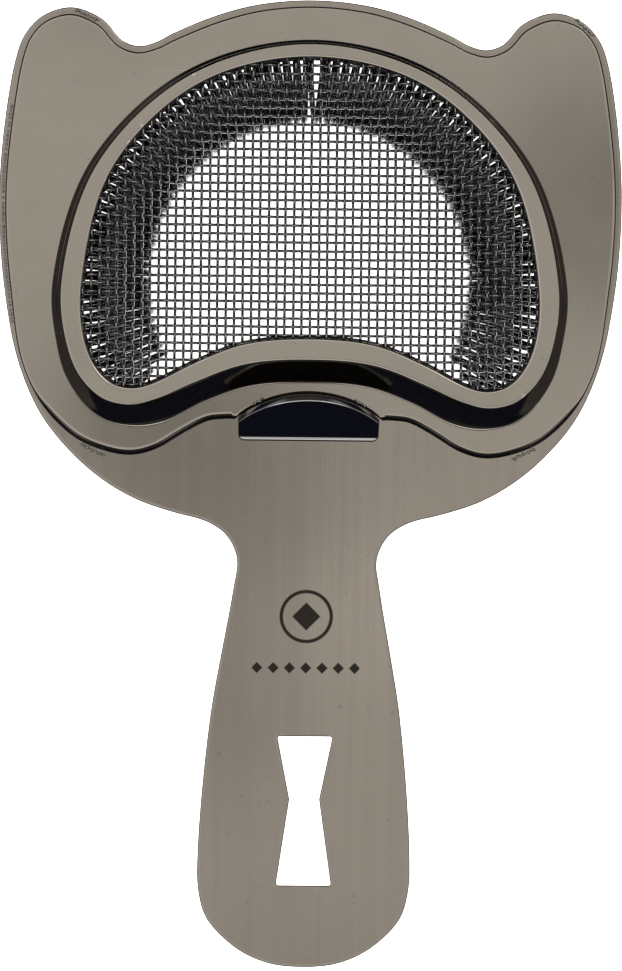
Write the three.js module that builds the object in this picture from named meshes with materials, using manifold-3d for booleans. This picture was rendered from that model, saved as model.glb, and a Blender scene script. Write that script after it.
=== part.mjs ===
// Hawthorne strainer: flat handle plate, eared cover plate with a raised ring round a
// lobed mesh window, C-shaped coil spring held by two anchor pins below, and a finger tab.
// Millimetres. +Z is up, +Y points from the handle to the pouring edge, X = 0 is the plane
// of symmetry. Z = 0 is the lowest line of the coil spring.
import * as THREE from 'three';
import { mergeVertices } from 'three/addons/utils/BufferGeometryUtils.js';
import Module from 'manifold-3d';

const wasm = await Module();
wasm.setup();

// ---------------------------------------------------------------- driving dimensions
const COIL_OUTER_DIAMETER = 16;
const COIL_SHELL = 0.65;
const COIL_BEND_RADIUS = 36.8;
const COIL_CENTRE_Y = 37.5;
const COIL_END_ANGLE = THREE.MathUtils.degToRad(-32);
const COIL_STEPS = 34;
const COIL_SIDES = 18;

// anchor pins: a leg up to the plate and an arm along the axis of the coil
const ANCHOR_DIAMETER = 2.4;
const ANCHOR_LEG_ANGLE = THREE.MathUtils.degToRad(-45.5);
const ANCHOR_ARM_ANGLE = THREE.MathUtils.degToRad(-41);
const ANCHOR_TIP_ANGLE = THREE.MathUtils.degToRad(-25);
const ANCHOR_BEND_HEIGHT = 3;
const ANCHOR_ELBOW_HEIGHT = 0.6;
const ANCHOR_ELBOW_SHARE = 0.35;
const ANCHOR_ARM_STEPS = 5;
const ANCHOR_STEPS = 22;
const ANCHOR_SIDES = 12;

const PLATE_THICKNESS = 1.8;
const COVER_THICKNESS = 1;
const RING_RISE_FRONT = 0.9;
const RING_RISE_REAR = 3.8;
const RING_FRONT_Y = 81;
const RING_REAR_Y = 19;
const RING_WALL = 0.6;
const RING_OVERLAP = 0.8;
// share of the way across the step wall and share of its climb, at its two bends
const WALL_FOOT_BEND = [0.2, 0.1];
const WALL_CREST_BEND = [0.8, 0.9];
const SEAT_GAP = 0.05;
const SPRING_CLEARANCE = 0.3;
const WINDOW_STEP_BACK = 0.8;
const CUT_MARGIN = 1;
const LOOP_STEPS = 5;
const EDGE_STEPS = 3;
const ARC_STEPS = 14;

const MESH_SHEET = 0.32;
const MESH_EDGE_GAP = 0.5;
const CLAMP_THICKNESS = 0.8;
const CLAMP_LIP = 0.45;

const TAB_HALF_WIDTH = 12.9;
const TAB_TOE_Y = 8.3;
const TAB_TOE_THICKNESS = 0.8;
const TAB_TOE_DEPTH = 3.4;
const TAB_TOE_OVERHANG = 0.4;
const TAB_SHEET = 1.2;
const TAB_LEAN = THREE.MathUtils.degToRad(42);
const TAB_BEND_Y = 10.1;
const TAB_SIDE = 2.9;
const TAB_ARC_RISE = 5.6;
const TAB_CORNER = 1.2;
const TAB_CUTTER = 20;
const NOTCH_HALF_WIDTH = 13.6;
const NOTCH_SHOULDER = 1.5;
const NOTCH_Y = 12.2;
const NOTCH_TOP_Y = 17;

const HOLE_TOP_Y = -46.2;
const HOLE_WAIST_Y = -57.8;
const HOLE_BOTTOM_Y = -73.8;
const HOLE_HALF_WIDTH = 5.05;
const HOLE_WAIST_HALF_WIDTH = 2.72;

// weld beads: length, width, height, centre and turn in plan; the last two are in mirrored
// pairs and give the right-hand one
const EAR_LEFT_WELD = { size: [5, 0.9, 0.6], at: [-41.3, 85.75], turn: -0.37 };
const EAR_RIGHT_WELD = { size: [5, 0.9, 0.6], at: [49.8, 84.6], turn: -0.72 };
const LOBE_WELD = { size: [5, 0.9, 0.6], at: [39.6, 5.7], turn: 0.42 };
const TAB_WELD = { size: [2.4, 0.6, 0.4], at: [9.4, 15.4], turn: -0.45 };
const WELD_GAP = 0.03;

// weld seam down the left side, beside the cover's edge
const SEAM_DIAMETER = 0.5;
const SEAM_SIDES = 8;
const SEAM_STEPS = 40;
const SEAM_PATH = [
  [-54.85, 69.5], [-56.2, 56.5], [-56.2, 46], [-55.22, 35], [-54.3, 28.5],
];

// weld collar round an anchor leg: height and how far it spreads at three levels
const COLLAR_HEIGHT = 1.2;
const COLLAR_LIP = 0.3;
const COLLAR_WAIST = { spread: 0.55, drop: 0.55 };
const COLLAR_BASE = { spread: 1.15, drop: 0.15 };

// heights of the layers, from the spring up
const COIL_AXIS_Z = COIL_OUTER_DIAMETER / 2;
const PLATE_Z = COIL_OUTER_DIAMETER + SPRING_CLEARANCE;
const PLATE_TOP_Z = PLATE_Z + PLATE_THICKNESS;
const COVER_Z = PLATE_TOP_Z + SEAT_GAP;
const COVER_TOP_Z = COVER_Z + COVER_THICKNESS;
const MESH_DROP = SEAT_GAP + MESH_SHEET;
const CLAMP_DROP = MESH_DROP + SEAT_GAP + CLAMP_THICKNESS;
const CAVITY_START_Z = COVER_Z - CUT_MARGIN;

// Outlines: right-hand half, from the point on the symmetry plane at the pouring edge,
// clockwise to the point on the symmetry plane nearest the handle.
const PLATE_HALF = [
  [0, 89], [10, 88.1], [18, 85.9], [25.5, 82.7], [29, 80.9], [32, 80.3], [35, 81.4],
  [38.3, 85], [44, 87.2], [49.4, 85.6], [52.6, 82.2], [54.1, 78.4], [55.8, 69.2],
  [57, 56.5], [56.9, 45], [55.8, 34], [53.6, 23], [49.6, 13.4], [44.2, 6.4], [37.9, 0.9],
  [31.4, -2.8], [24.5, -5.1], [18.6, -6.7], [14.9, -9.2], [12.9, -13.4], [13.5, -19],
  [15.7, -31.5], [17.3, -41], [18.8, -55], [19.6, -68], [19.5, -74.2], [18.1, -79.6],
  [14.7, -83.7], [10.5, -86.7], [5.6, -88.5], [0, -89],
];
const COVER_HALF = [
  [0, 87.8], [9.8, 86.9], [17.6, 84.7], [25, 81.6], [28.7, 79.8], [32.2, 79.1], [35.8, 80.5],
  [39, 83.9], [44, 85.9], [48.7, 84.6], [51.5, 81.7], [52.9, 78], [54.5, 69], [55.8, 56.5],
  [55.8, 46], [54.8, 35], [52.9, 23], [49.2, 14.9], [43.5, 8.9], [38, 6.3], [32.5, 5.4],
  [27.8, 6.6], [22.9, 9.5], [18.4, 11.8],
];
const WINDOW_HALF = [
  [0, 78.4], [20.9, 73.2], [36.3, 57.7], [41.6, 37], [41.1, 27], [38.8, 21.5], [35.9, 18.8],
  [32.3, 18], [28.6, 18.9], [21, 22.7], [12, 26.2], [0, 27.3],
];
const RING_CREST_HALF = [
  [0, 80.8], [22.6, 74.7], [39.2, 58.2], [45.3, 37], [44.4, 26.4], [41.8, 20], [37.4, 16],
  [32.4, 15], [27.4, 16.3], [20.5, 19.5], [11.5, 22.7], [0, 23.6],
];
const RING_FOOT_HALF = [
  [0, 81.7], [23.3, 75.7], [40.6, 58.7], [47.1, 37], [46.4, 26.5], [44.2, 19.2], [38.8, 12.6],
  [32.2, 10.8], [26.6, 11.6], [19.3, 15.3], [10.8, 18.3], [0, 19.1],
];

// The ring, mesh and clamp ring lie in planes that rise steadily towards the handle.
function ringRise(y) {
  const share = (RING_FRONT_Y - y) / (RING_FRONT_Y - RING_REAR_Y);
  return THREE.MathUtils.lerp(RING_RISE_FRONT, RING_RISE_REAR, share);
}

// ---------------------------------------------------------------- outlines
const mirrored = ([x, y]) => [-x, y];

function smoothLoop(points, perSpan) {
  const knots = points.map(([x, y]) => new THREE.Vector3(x, y, 0));
  const curve = new THREE.CatmullRomCurve3(knots, true, 'centripetal');
  return curve.getPoints(knots.length * perSpan).slice(0, -1)
    .map((p) => new THREE.Vector2(p.x, p.y));
}

function mirroredLoop(half, perSpan) {
  const leftHalf = half.slice(1, -1).map(mirrored).reverse();
  return smoothLoop([...half, ...leftHalf], perSpan);
}

// Moves a clockwise loop inwards by a distance, or outwards when it is negative.
function inset(loop, distance) {
  return loop.map((point, i) => {
    const before = loop[(i + loop.length - 1) % loop.length];
    const after = loop[(i + 1) % loop.length];
    const along = after.clone().sub(before).normalize();
    return new THREE.Vector2(point.x + along.y * distance, point.y - along.x * distance);
  });
}

function arcThrough(halfWidth, y, topY, steps) {
  const rise = topY - y;
  const radius = (halfWidth * halfWidth + rise * rise) / (2 * rise);
  const start = Math.atan2(y - topY + radius, -halfWidth);
  const end = Math.PI - start;
  return new THREE.EllipseCurve(0, topY - radius, radius, radius, start, end, true)
    .getPoints(steps);
}

function coverLoop(perSpan) {
  const side = [...COVER_HALF, [NOTCH_HALF_WIDTH + NOTCH_SHOULDER, NOTCH_Y]];
  const knots = [...side.slice(1).map(mirrored).reverse(), ...side]
    .map(([x, y]) => new THREE.Vector3(x, y, 0));
  const curve = new THREE.CatmullRomCurve3(knots, false, 'centripetal');
  const edge = curve.getPoints((knots.length - 1) * perSpan)
    .map((p) => new THREE.Vector2(p.x, p.y));
  const notch = arcThrough(NOTCH_HALF_WIDTH, NOTCH_Y, NOTCH_TOP_Y, ARC_STEPS).reverse();
  return [...edge, ...notch];
}

function bowTieLoop() {
  return [
    [-HOLE_HALF_WIDTH, HOLE_TOP_Y], [HOLE_HALF_WIDTH, HOLE_TOP_Y],
    [HOLE_WAIST_HALF_WIDTH, HOLE_WAIST_Y], [HOLE_HALF_WIDTH, HOLE_BOTTOM_Y],
    [-HOLE_HALF_WIDTH, HOLE_BOTTOM_Y], [-HOLE_WAIST_HALF_WIDTH, HOLE_WAIST_Y],
  ].map(([x, y]) => new THREE.Vector2(x, y));
}

// ---------------------------------------------------------------- solids
function extrude(loop, height, holes = []) {
  const shape = new THREE.Shape(THREE.ShapeUtils.isClockWise(loop) ? [...loop].reverse() : loop);
  shape.holes = holes.map((hole) => new THREE.Path(hole));
  return new THREE.ExtrudeGeometry(shape, { depth: height, bevelEnabled: false, steps: 1 });
}

function placed(geometry, x, y, z) {
  return geometry.translate(x, y, z);
}

// Shears a flat solid so that it follows the tilt of the ring.
function tilted(geometry, z) {
  const position = geometry.attributes.position;
  for (let i = 0; i < position.count; i += 1) {
    position.setZ(i, position.getZ(i) + z + ringRise(position.getY(i)));
  }
  return geometry;
}

// Skins a stack of clockwise loops with equal point counts and closes both ends.
// Each ring gives its height as a function of the point.
function loft(rings) {
  const count = rings[0].loop.length;
  const position = rings.flatMap(({ loop, height }) => (
    loop.flatMap((p) => [p.x, p.y, height(p)])));
  const index = [];
  for (let ring = 0; ring < rings.length - 1; ring += 1) {
    for (let i = 0; i < count; i += 1) {
      const a = ring * count + i;
      const b = ring * count + ((i + 1) % count);
      index.push(a, a + count, b, b, a + count, b + count);
    }
  }
  const cap = THREE.ShapeUtils.triangulateShape(rings[0].loop, []);
  const top = (rings.length - 1) * count;
  for (const [a, b, c] of cap) {
    const points = [a, b, c].map((i) => rings[0].loop[i]);
    const turn = points[1].clone().sub(points[0]).cross(points[2].clone().sub(points[0]));
    const [p, q, r] = turn > 0 ? [a, b, c] : [a, c, b];
    index.push(p, r, q);
    index.push(top + p, top + q, top + r);
  }
  const geometry = new THREE.BufferGeometry();
  geometry.setAttribute('position', new THREE.Float32BufferAttribute(position, 3));
  geometry.setIndex(index);
  return geometry;
}

function solid(geometry) {
  const bare = geometry.clone();
  bare.deleteAttribute('normal');
  bare.deleteAttribute('uv');
  const merged = mergeVertices(bare, 1e-4);
  return new wasm.Manifold(new wasm.Mesh({
    numProp: 3,
    vertProperties: new Float32Array(merged.attributes.position.array),
    triVerts: new Uint32Array(merged.index.array),
  }));
}

function geometryOf(manifold) {
  const mesh = manifold.getMesh();
  const geometry = new THREE.BufferGeometry();
  geometry.setAttribute('position', new THREE.BufferAttribute(mesh.vertProperties, 3));
  geometry.setIndex(new THREE.BufferAttribute(mesh.triVerts, 1));
  geometry.computeVertexNormals();
  return geometry;
}

function circleShape(radius, sides) {
  return new THREE.Shape(new THREE.EllipseCurve(0, 0, radius, radius, 0, Math.PI * 2)
    .getPoints(sides).slice(0, -1));
}

// ---------------------------------------------------------------- sub-parts
function bodyPlate() {
  const window = inset(mirroredLoop(RING_CREST_HALF, LOOP_STEPS), WINDOW_STEP_BACK);
  const outline = mirroredLoop(PLATE_HALF, EDGE_STEPS);
  return placed(extrude(outline, PLATE_THICKNESS, [window, bowTieLoop()]), 0, 0, PLATE_Z);
}

// The step wall leaves the flat and meets the ring more gently than it climbs between.
function raisedRing(foot, crest, bottomZ, footZ) {
  const ringAt = (share, riseShare) => ({
    loop: foot.map((p, i) => p.clone().lerp(crest[i], share)),
    height: (p) => footZ + riseShare * ringRise(p.y),
  });
  return loft([
    { loop: foot, height: () => bottomZ },
    ringAt(0, 0),
    ringAt(...WALL_FOOT_BEND),
    ringAt(...WALL_CREST_BEND),
    ringAt(1, 1),
  ]);
}

function coverPlate() {
  const foot = mirroredLoop(RING_FOOT_HALF, LOOP_STEPS);
  const crest = mirroredLoop(RING_CREST_HALF, LOOP_STEPS);
  const window = mirroredLoop(WINDOW_HALF, LOOP_STEPS);
  const flat = solid(placed(extrude(coverLoop(EDGE_STEPS), COVER_THICKNESS), 0, 0, COVER_Z));
  const outer = solid(raisedRing(foot, crest, COVER_TOP_Z - RING_OVERLAP, COVER_TOP_Z));
  const inner = solid(raisedRing(inset(foot, RING_WALL), inset(crest, RING_WALL),
    CAVITY_START_Z, COVER_Z));
  const openingHeight = COVER_THICKNESS + RING_RISE_REAR + CUT_MARGIN * 3;
  const opening = solid(placed(extrude(window, openingHeight), 0, 0, CAVITY_START_Z));
  return geometryOf(flat.add(outer).subtract(inner).subtract(opening));
}

// Outline of the pieces that lie inside the raised ring.
function underRingLoop() {
  return inset(mirroredLoop(RING_CREST_HALF, LOOP_STEPS), RING_WALL + MESH_EDGE_GAP);
}

function strainerMesh() {
  return tilted(extrude(underRingLoop(), MESH_SHEET), COVER_Z - MESH_DROP);
}

function meshClampRing() {
  const hole = inset(mirroredLoop(WINDOW_HALF, LOOP_STEPS), CLAMP_LIP);
  return tilted(extrude(underRingLoop(), CLAMP_THICKNESS, [hole]), COVER_Z - CLAMP_DROP);
}

function onCoilArc(angle) {
  return new THREE.Vector3(COIL_BEND_RADIUS * Math.cos(angle),
    COIL_CENTRE_Y + COIL_BEND_RADIUS * Math.sin(angle), COIL_AXIS_Z);
}

function arcPoints(startAngle, endAngle, steps) {
  return Array.from({ length: steps + 1 }, (_, i) => (
    onCoilArc(THREE.MathUtils.lerp(startAngle, endAngle, i / steps))));
}

function coilSpring() {
  const path = new THREE.CatmullRomCurve3(
    arcPoints(COIL_END_ANGLE, Math.PI - COIL_END_ANGLE, COIL_STEPS / 2));
  const section = circleShape(COIL_OUTER_DIAMETER / 2, COIL_SIDES);
  const bore = circleShape(COIL_OUTER_DIAMETER / 2 - COIL_SHELL, COIL_SIDES);
  section.holes.push(new THREE.Path(bore.getPoints()));
  return new THREE.ExtrudeGeometry(section, { steps: COIL_STEPS, extrudePath: path });
}

function anchorTop(side) {
  const foot = onCoilArc(ANCHOR_LEG_ANGLE);
  return new THREE.Vector3(side * foot.x, foot.y, PLATE_Z - SEAT_GAP);
}

function springAnchor(side) {
  const top = anchorTop(side);
  const leg = top.clone().setZ(COIL_AXIS_Z + ANCHOR_BEND_HEIGHT);
  const arm = arcPoints(ANCHOR_ARM_ANGLE, ANCHOR_TIP_ANGLE, ANCHOR_ARM_STEPS)
    .map((p) => p.setX(side * p.x));
  const elbow = top.clone().lerp(arm[0], ANCHOR_ELBOW_SHARE)
    .setZ(COIL_AXIS_Z + ANCHOR_ELBOW_HEIGHT);
  const path = new THREE.CatmullRomCurve3([top, leg, elbow, ...arm], false, 'centripetal');
  const section = circleShape(ANCHOR_DIAMETER / 2, ANCHOR_SIDES);
  return new THREE.ExtrudeGeometry(section, { steps: ANCHOR_STEPS, extrudePath: path });
}

// A leaf that leans over the handle side, on a flat toe with rounded corners.
function fingerTab() {
  const arc = arcThrough(TAB_HALF_WIDTH, TAB_SIDE, TAB_SIDE + TAB_ARC_RISE, ARC_STEPS);
  const leafLoop = [...arc, new THREE.Vector2(TAB_HALF_WIDTH, -TAB_TOE_DEPTH),
    new THREE.Vector2(-TAB_HALF_WIDTH, -TAB_TOE_DEPTH)];
  const leaf = placed(extrude(leafLoop, TAB_SHEET).rotateX(TAB_LEAN), 0, TAB_BEND_Y, COVER_Z);
  const toe = new THREE.Shape();
  toe.moveTo(-TAB_HALF_WIDTH, TAB_TOE_DEPTH);
  toe.lineTo(-TAB_HALF_WIDTH, TAB_CORNER);
  toe.absarc(TAB_CORNER - TAB_HALF_WIDTH, TAB_CORNER, TAB_CORNER, Math.PI, Math.PI * 1.5);
  toe.absarc(TAB_HALF_WIDTH - TAB_CORNER, TAB_CORNER, TAB_CORNER, Math.PI * 1.5, 0);
  toe.lineTo(TAB_HALF_WIDTH, TAB_TOE_DEPTH);
  const foot = placed(new THREE.ExtrudeGeometry(toe, {
    depth: TAB_TOE_THICKNESS, bevelEnabled: false, curveSegments: LOOP_STEPS,
  }), 0, TAB_TOE_Y, COVER_Z);
  const cutter = new THREE.BoxGeometry(TAB_HALF_WIDTH * 3, TAB_CUTTER, TAB_CUTTER);
  const below = placed(cutter.clone(), 0, TAB_TOE_Y, COVER_Z - TAB_CUTTER / 2);
  const before = placed(cutter, 0, TAB_TOE_Y + TAB_TOE_OVERHANG - TAB_CUTTER / 2, COVER_Z);
  return geometryOf(solid(leaf).subtract(solid(below)).subtract(solid(before)).add(solid(foot)));
}

function weldBead({ size: [length, width, height], at: [x, y], turn }, side, z) {
  return placed(new THREE.IcosahedronGeometry(1, 2).scale(length / 2, width / 2, height / 2)
    .rotateZ(side * turn), side * x, y, z + height / 2);
}

function weldSeam() {
  const z = COVER_Z + SEAM_DIAMETER / 2;
  const path = new THREE.CatmullRomCurve3(SEAM_PATH.map(([x, y]) => new THREE.Vector3(x, y, z)));
  const section = circleShape(SEAM_DIAMETER / 2, SEAM_SIDES);
  return new THREE.ExtrudeGeometry(section, { steps: SEAM_STEPS, extrudePath: path });
}

function weldCollar(side) {
  const top = anchorTop(side);
  const inner = ANCHOR_DIAMETER / 2 + SEAT_GAP;
  const profile = [
    new THREE.Vector2(inner, -COLLAR_HEIGHT),
    new THREE.Vector2(inner + COLLAR_LIP, -COLLAR_HEIGHT),
    new THREE.Vector2(inner + COLLAR_WAIST.spread, -COLLAR_WAIST.drop),
    new THREE.Vector2(inner + COLLAR_BASE.spread, -COLLAR_BASE.drop),
    new THREE.Vector2(inner + COLLAR_BASE.spread, 0),
    new THREE.Vector2(inner, 0),
    new THREE.Vector2(inner, -COLLAR_HEIGHT),
  ];
  return placed(new THREE.LatheGeometry(profile, ANCHOR_SIDES * 2).rotateX(Math.PI / 2),
    top.x, top.y, top.z);
}

// ---------------------------------------------------------------- finishes
const gunmetal = (color, roughness) => (
  new THREE.MeshStandardMaterial({ color, roughness, metalness: 1 }));
const FINISH = {
  plate: () => gunmetal(0x86807a, 0.34),
  cover: () => gunmetal(0x8e877d, 0.22),
  dark: () => gunmetal(0x2a2a2e, 0.3),
  weld: () => gunmetal(0x4a4744, 0.55),
};

// ---------------------------------------------------------------- assembly
const strainer = new THREE.Group();

function addPart(name, geometry, material) {
  const mesh = new THREE.Mesh(geometry, material);
  mesh.name = name;
  strainer.add(mesh);
}

addPart('body_plate', bodyPlate(), FINISH.plate());
addPart('cover_plate', coverPlate(), FINISH.cover());
addPart('strainer_mesh', strainerMesh(), FINISH.dark());
addPart('mesh_clamp_ring', meshClampRing(), FINISH.dark());
addPart('coil_spring', coilSpring(), FINISH.dark());
addPart('finger_tab', fingerTab(), FINISH.dark());

for (const [sideName, side] of [['left', -1], ['right', 1]]) {
  addPart(`spring_anchor_${sideName}`, springAnchor(side), FINISH.dark());
  addPart(`weld_anchor_${sideName}`, weldCollar(side), FINISH.weld());
  addPart(`weld_lobe_${sideName}`, weldBead(LOBE_WELD, side, COVER_Z), FINISH.weld());
  addPart(`weld_tab_${sideName}`, weldBead(TAB_WELD, side, COVER_TOP_Z + WELD_GAP), FINISH.weld());
}

addPart('weld_ear_left', weldBead(EAR_LEFT_WELD, 1, COVER_Z), FINISH.weld());
addPart('weld_ear_right', weldBead(EAR_RIGHT_WELD, 1, COVER_Z), FINISH.weld());
addPart('weld_seam_left', weldSeam(), FINISH.weld());

export default strainer;
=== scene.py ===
"""Hawthorne strainer: the fine visual model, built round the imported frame. Metres, +Z up."""
import math

import bmesh
import bpy
import numpy as np
from mathutils import Matrix, Vector, noise
from mathutils.geometry import tessellate_polygon


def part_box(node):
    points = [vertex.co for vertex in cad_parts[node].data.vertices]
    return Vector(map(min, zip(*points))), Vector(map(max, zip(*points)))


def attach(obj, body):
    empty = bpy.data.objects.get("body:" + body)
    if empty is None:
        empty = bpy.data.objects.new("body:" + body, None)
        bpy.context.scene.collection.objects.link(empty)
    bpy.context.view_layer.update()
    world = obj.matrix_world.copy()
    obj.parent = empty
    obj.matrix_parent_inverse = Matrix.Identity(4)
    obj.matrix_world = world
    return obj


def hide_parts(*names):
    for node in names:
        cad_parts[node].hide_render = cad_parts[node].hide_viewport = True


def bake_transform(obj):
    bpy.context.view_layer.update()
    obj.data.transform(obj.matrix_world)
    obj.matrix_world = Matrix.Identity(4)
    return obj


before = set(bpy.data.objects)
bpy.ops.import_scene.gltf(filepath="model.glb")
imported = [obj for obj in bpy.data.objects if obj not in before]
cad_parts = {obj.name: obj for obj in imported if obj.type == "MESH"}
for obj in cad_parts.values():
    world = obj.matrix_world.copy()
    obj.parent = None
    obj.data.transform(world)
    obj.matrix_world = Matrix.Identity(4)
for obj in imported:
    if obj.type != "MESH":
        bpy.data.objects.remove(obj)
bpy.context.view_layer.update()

MM = 0.001

# ------------------------------------------------------------------ driving sizes
PLATE_EDGE = 0.3 * MM
HOLE_EDGE = 0.32 * MM
HOLE_CORNER = 0.5 * MM
EDGE_BORDER = 0.35 * MM
COVER_EDGE = 0.34 * MM
COVER_REAR_EDGE = 1.15 * MM
COVER_SHEET = 1.0 * MM
WINDOW_EDGE = 0.6 * MM
WINDOW_EDGE_DROP = 0.5
POLAR_CENTRE = (0.0, 50 * MM)
POLAR_STEPS = 720
WALL_SPREAD = 0.03
WALL_BLEND = 0.13
SHOULDER_AT = 0.56
SHOULDER_WIDTH = 0.04
WALL_STEPS = 44
CLAMP_SHEET = 0.8 * MM

MESH_PITCH = 1.54 * MM
MESH_WIRE = 0.55 * MM
MESH_SAMPLES = 10
MESH_SIDES = 7

COIL_BEND_RADIUS = 36.8 * MM
COIL_CENTRE_Y = 37.5 * MM
COIL_END_ANGLE = math.radians(-32)
COIL_PITCH = 1.65 * MM
COIL_WIRE = 1.19 * MM
COIL_TURN_SAMPLES = 28
COIL_SIDES = 10
# how much wider the pitch is at the open place and towards the two ends, and over what angle
COIL_SPREAD_ANGLE = math.radians(89)
COIL_SPREAD_LOOSE = 1.25
COIL_SPREAD_WIDTH = math.radians(2.3)
COIL_END_LOOSE = 0.3
COIL_END_WIDTH = math.radians(24)
COIL_UNEVEN = 0.04
COIL_HOOK_TURNS = 1.5
COIL_HOOK_SHARE = 0.23

ANCHOR_WIRE = 2.4 * MM
ANCHOR_LEG_ANGLE = math.radians(-45.5)
ANCHOR_ARM_ANGLE = math.radians(-41)
ANCHOR_TIP_ANGLE = math.radians(-25)
ANCHOR_BEND_RISE = 3.1 * MM
ANCHOR_TIP_SHARE = 0.3
COLLAR_SPREAD = 1.15 * MM
COLLAR_HEIGHT = 1.2 * MM
BEAD_WANDER = 0.14 * MM
# radius of a weld lump and how much it varies, in millimetres
BEAD_LUMP = 0.22
BEAD_LUMP_VARIATION = 0.1
BEAD_RAISE = 0.16 * MM
LOBE_RAISE = 0.6 * MM
SEAM_OFFSET = 0.42 * MM
SEAM_PITCH = 0.62 * MM

TAB_SHEET = 1.2 * MM
TAB_TOE_SHEET = 0.8 * MM
TAB_TOE = 0.62 * MM
TAB_BEND = 0.25 * MM
TAB_LEAN = math.radians(42)
TAB_EDGE = 0.16 * MM
TAB_FOOT_EDGE = 0.42 * MM
TAB_FLARE = 0.28 * MM
TAB_HALF_WIDTH = 12.9 * MM
TAB_CORNER = 1.2 * MM
TAB_SIDE = 4.4 * MM
TAB_ARC_RISE = 5.6 * MM

# etched motif; all but its centre in millimetres
MOTIF_CENTRE_Y = -24 * MM
MOTIF_RING_RADIUS = 4.6
MOTIF_RING_EDGES = (0.42, 0.22)
MOTIF_DIAMOND = 2.6
MOTIF_ROW_DROP = 9.5
MOTIF_ROW_HALF_PITCH = 1.5
MOTIF_ROW_DIAMOND = 1.05
MOTIF_ROW_ENDS = (10.0, 9.8)

# floor: how far it is flat, the radius of its curve and the height of its edge
FLOOR_MIDDLE = 0.4
FLOOR_FLAT = 1.6
FLOOR_CURVE = 0.6
FLOOR_TOP = 3.0
FLOOR_SIDES = 96

# World light by direction: z is the height of the direction, 1 straight up and -1 straight
# down. Each pair is where a light is off and where it is full. A patch is x, y, the radius
# that is full, the radius where it ends and how much darker it makes the light overhead.
OVERHEAD_Z = (0.79, 0.87)
RIM_LOW_Z = (0.8, 0.86)
RIM_HIGH_Z = (0.96, 0.91)
RIM_LIGHT = 0.9
DARK_PATCHES = (
    (-0.007, -0.043, 0.014, 0.045, 0.5),
    (-0.006, -0.1, 0.004, 0.028, 0.45),
    (0.016, -0.165, 0.0, 0.035, 0.4),
    (0.085, 0.02, 0.012, 0.04, 0.47),
    (-0.03, -0.024, 0.0, 0.022, 0.35),
    (-0.028, 0.066, 0.0, 0.019, 0.5),
    (0.036, -0.074, 0.0, 0.022, -0.75),
)
RIGHT_DIMMING = 0.3
FILL_Z = (0.2, 0.34)
FILL_LIGHT = 0.05
SIDE_X = (0.3, 0.5)
SIDE_Z = (0.21, 0.26)
SIDE_LIGHT = 0.26
BELOW_Z = (-0.48, -0.6)
STEEP_BELOW_Z = (-0.68, -0.8)
GLOW_PATCH = (0.32, 0.4, 0.06, 0.17)
GLOW_LIGHT = 3.0
LEAST_LIGHT = 0.018
LIGHT_LEVEL = 1.75
WARM_ABOVE_Z = (0.2, 0.3)
WARM_BELOW_Z = (-0.42, -0.5)
WARM_LIGHT = (1, 0.985, 0.955, 1)
COOL_LIGHT = (0.45, 0.5, 1, 1)

CAMERA_DISTANCE = 0.8
CAMERA_X = -14 * MM
CAMERA_Y = 38 * MM
CAMERA_ROLL = math.radians(0.65)
AIM_X = 0.6 * MM
AIM_Y = 0.15 * MM
PICTURE_HEIGHT = 178.45 * MM


# ------------------------------------------------------------------ loops taken from the frame
def loop_area(loop):
    points = np.array([p[:2] for p in loop])
    after = np.roll(points, -1, axis=0)
    return 0.5 * float(np.sum(points[:, 0] * after[:, 1] - after[:, 0] * points[:, 1]))


def top_loops(node):
    """Boundary loops of a CAD node's upward faces, largest first, with the metal on the left."""
    mesh = bmesh.new()
    mesh.from_mesh(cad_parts[node].data)
    bmesh.ops.remove_doubles(mesh, verts=mesh.verts, dist=2e-6)
    mesh.normal_update()
    upward = [face for face in mesh.faces if face.normal.z > 0.99]
    top = set(upward)
    following = {}
    for face in upward:
        for corner in face.loops:
            others = [f for f in corner.edge.link_faces if f != face]
            if not others or others[0] not in top:
                following[corner.vert] = corner.link_loop_next.vert
    loops = []
    while following:
        start, vert = next(iter(following.items()))
        del following[start]
        loop = [start.co.copy()]
        while vert != start and vert in following:
            loop.append(vert.co.copy())
            vert = following.pop(vert)
        loops.append(loop)
    mesh.free()
    return sorted(loops, key=lambda loop: -abs(loop_area(loop)))


def smooth_loop(loop, steps, corner=math.radians(32)):
    """A closed Catmull-Rom curve through the loop's points that keeps its sharp corners."""
    count = len(loop)
    sharp = []
    for i, point in enumerate(loop):
        a = point - loop[i - 1]
        b = loop[(i + 1) % count] - point
        sharp.append(a.angle(b, 0) > corner)
    out = []
    for i in range(count):
        p0, p1 = loop[i - 1], loop[i]
        p2, p3 = loop[(i + 1) % count], loop[(i + 2) % count]
        m1 = (p2 - p1) if sharp[i] else (p2 - p0) / 2
        m2 = (p2 - p1) if sharp[(i + 1) % count] else (p3 - p1) / 2
        for k in range(steps):
            t = k / steps
            out.append(
                p1 * (2 * t**3 - 3 * t**2 + 1)
                + m1 * (t**3 - 2 * t**2 + t)
                + p2 * (3 * t**2 - 2 * t**3)
                + m2 * (t**3 - t**2)
            )
    return out


def rounded_polygon(loop, radius, steps=5):
    """Straight sides with small round corners; the shallow corners stay crisp."""
    out = []
    for i, point in enumerate(loop):
        before = (loop[i - 1] - point).normalized()
        after = (loop[(i + 1) % len(loop)] - point).normalized()
        size = radius if before.angle(after) < math.radians(140) else radius * 0.15
        start, end = point + before * size, point + after * size
        for k in range(steps + 1):
            t = k / steps
            out.append(start * (1 - t) ** 2 + point * 2 * t * (1 - t) + end * t * t)
    return divided(out, 2 * MM)


def divided(loop, longest):
    """The loop with its long sides cut into shorter ones."""
    out = []
    for i, point in enumerate(loop):
        after = loop[(i + 1) % len(loop)]
        pieces = max(1, math.ceil((after - point).length / longest))
        out += [point.lerp(after, k / pieces) for k in range(pieces)]
    return out


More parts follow.
